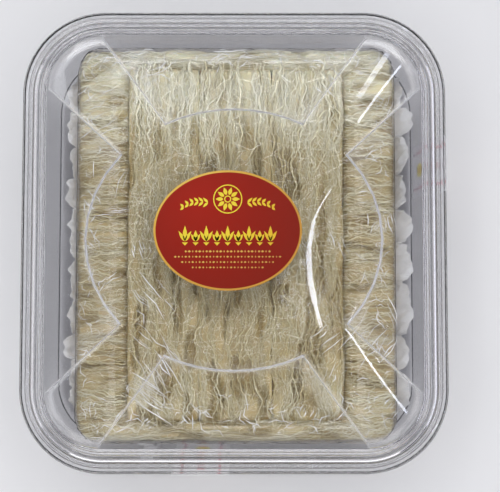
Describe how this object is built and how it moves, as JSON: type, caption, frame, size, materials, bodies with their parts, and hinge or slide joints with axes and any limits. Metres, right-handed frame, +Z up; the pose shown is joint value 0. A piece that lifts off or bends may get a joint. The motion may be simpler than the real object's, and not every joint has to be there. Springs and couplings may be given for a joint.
{
  "type": "edible bird's nest in a clear retail box",
  "caption": "Clear moulded box with an embossed lid, holding stringy edible nest strips laid in crossed courses under cling film on a paper liner.",
  "frame": {"origin": "middle of the tray's flat underside, on the surface that the box stands on", "axes": "+Z up through the lid, +X across the box to the side with the seal, +Y along the box away from the front seal"},
  "size_m": [0.1886, 0.2046, 0.0618],
  "materials": {
    "clear_plastic": "clear glossy moulded polystyrene",
    "liner_paper": "matt white soft paper, crumpled and torn at its edges",
    "nest": "pale cream dried strands with tan hollows, slightly translucent",
    "cling_film": "thin clear wrinkled film",
    "label_print": "glossy red print with gold ornament",
    "seal_paper": "off-white paper sticker with faded red marks"
  },
  "bodies": {
    "root": {"tray": "clear_plastic", "lid": "clear_plastic", "liner": "liner_paper", "nest_low_1": "nest", "nest_low_2": "nest", "nest_low_3": "nest", "nest_low_4": "nest", "nest_low_5": "nest", "nest_middle_1": "nest", "nest_middle_2": "nest", "nest_middle_3": "nest", "nest_middle_4": "nest", "nest_middle_5": "nest", "nest_top_1": "nest", "nest_top_2": "nest", "nest_top_3": "nest", "film": "cling_film", "label": "label_print", "seal_front": "seal_paper", "seal_right": "seal_paper"}
  },
  "joints": []
}
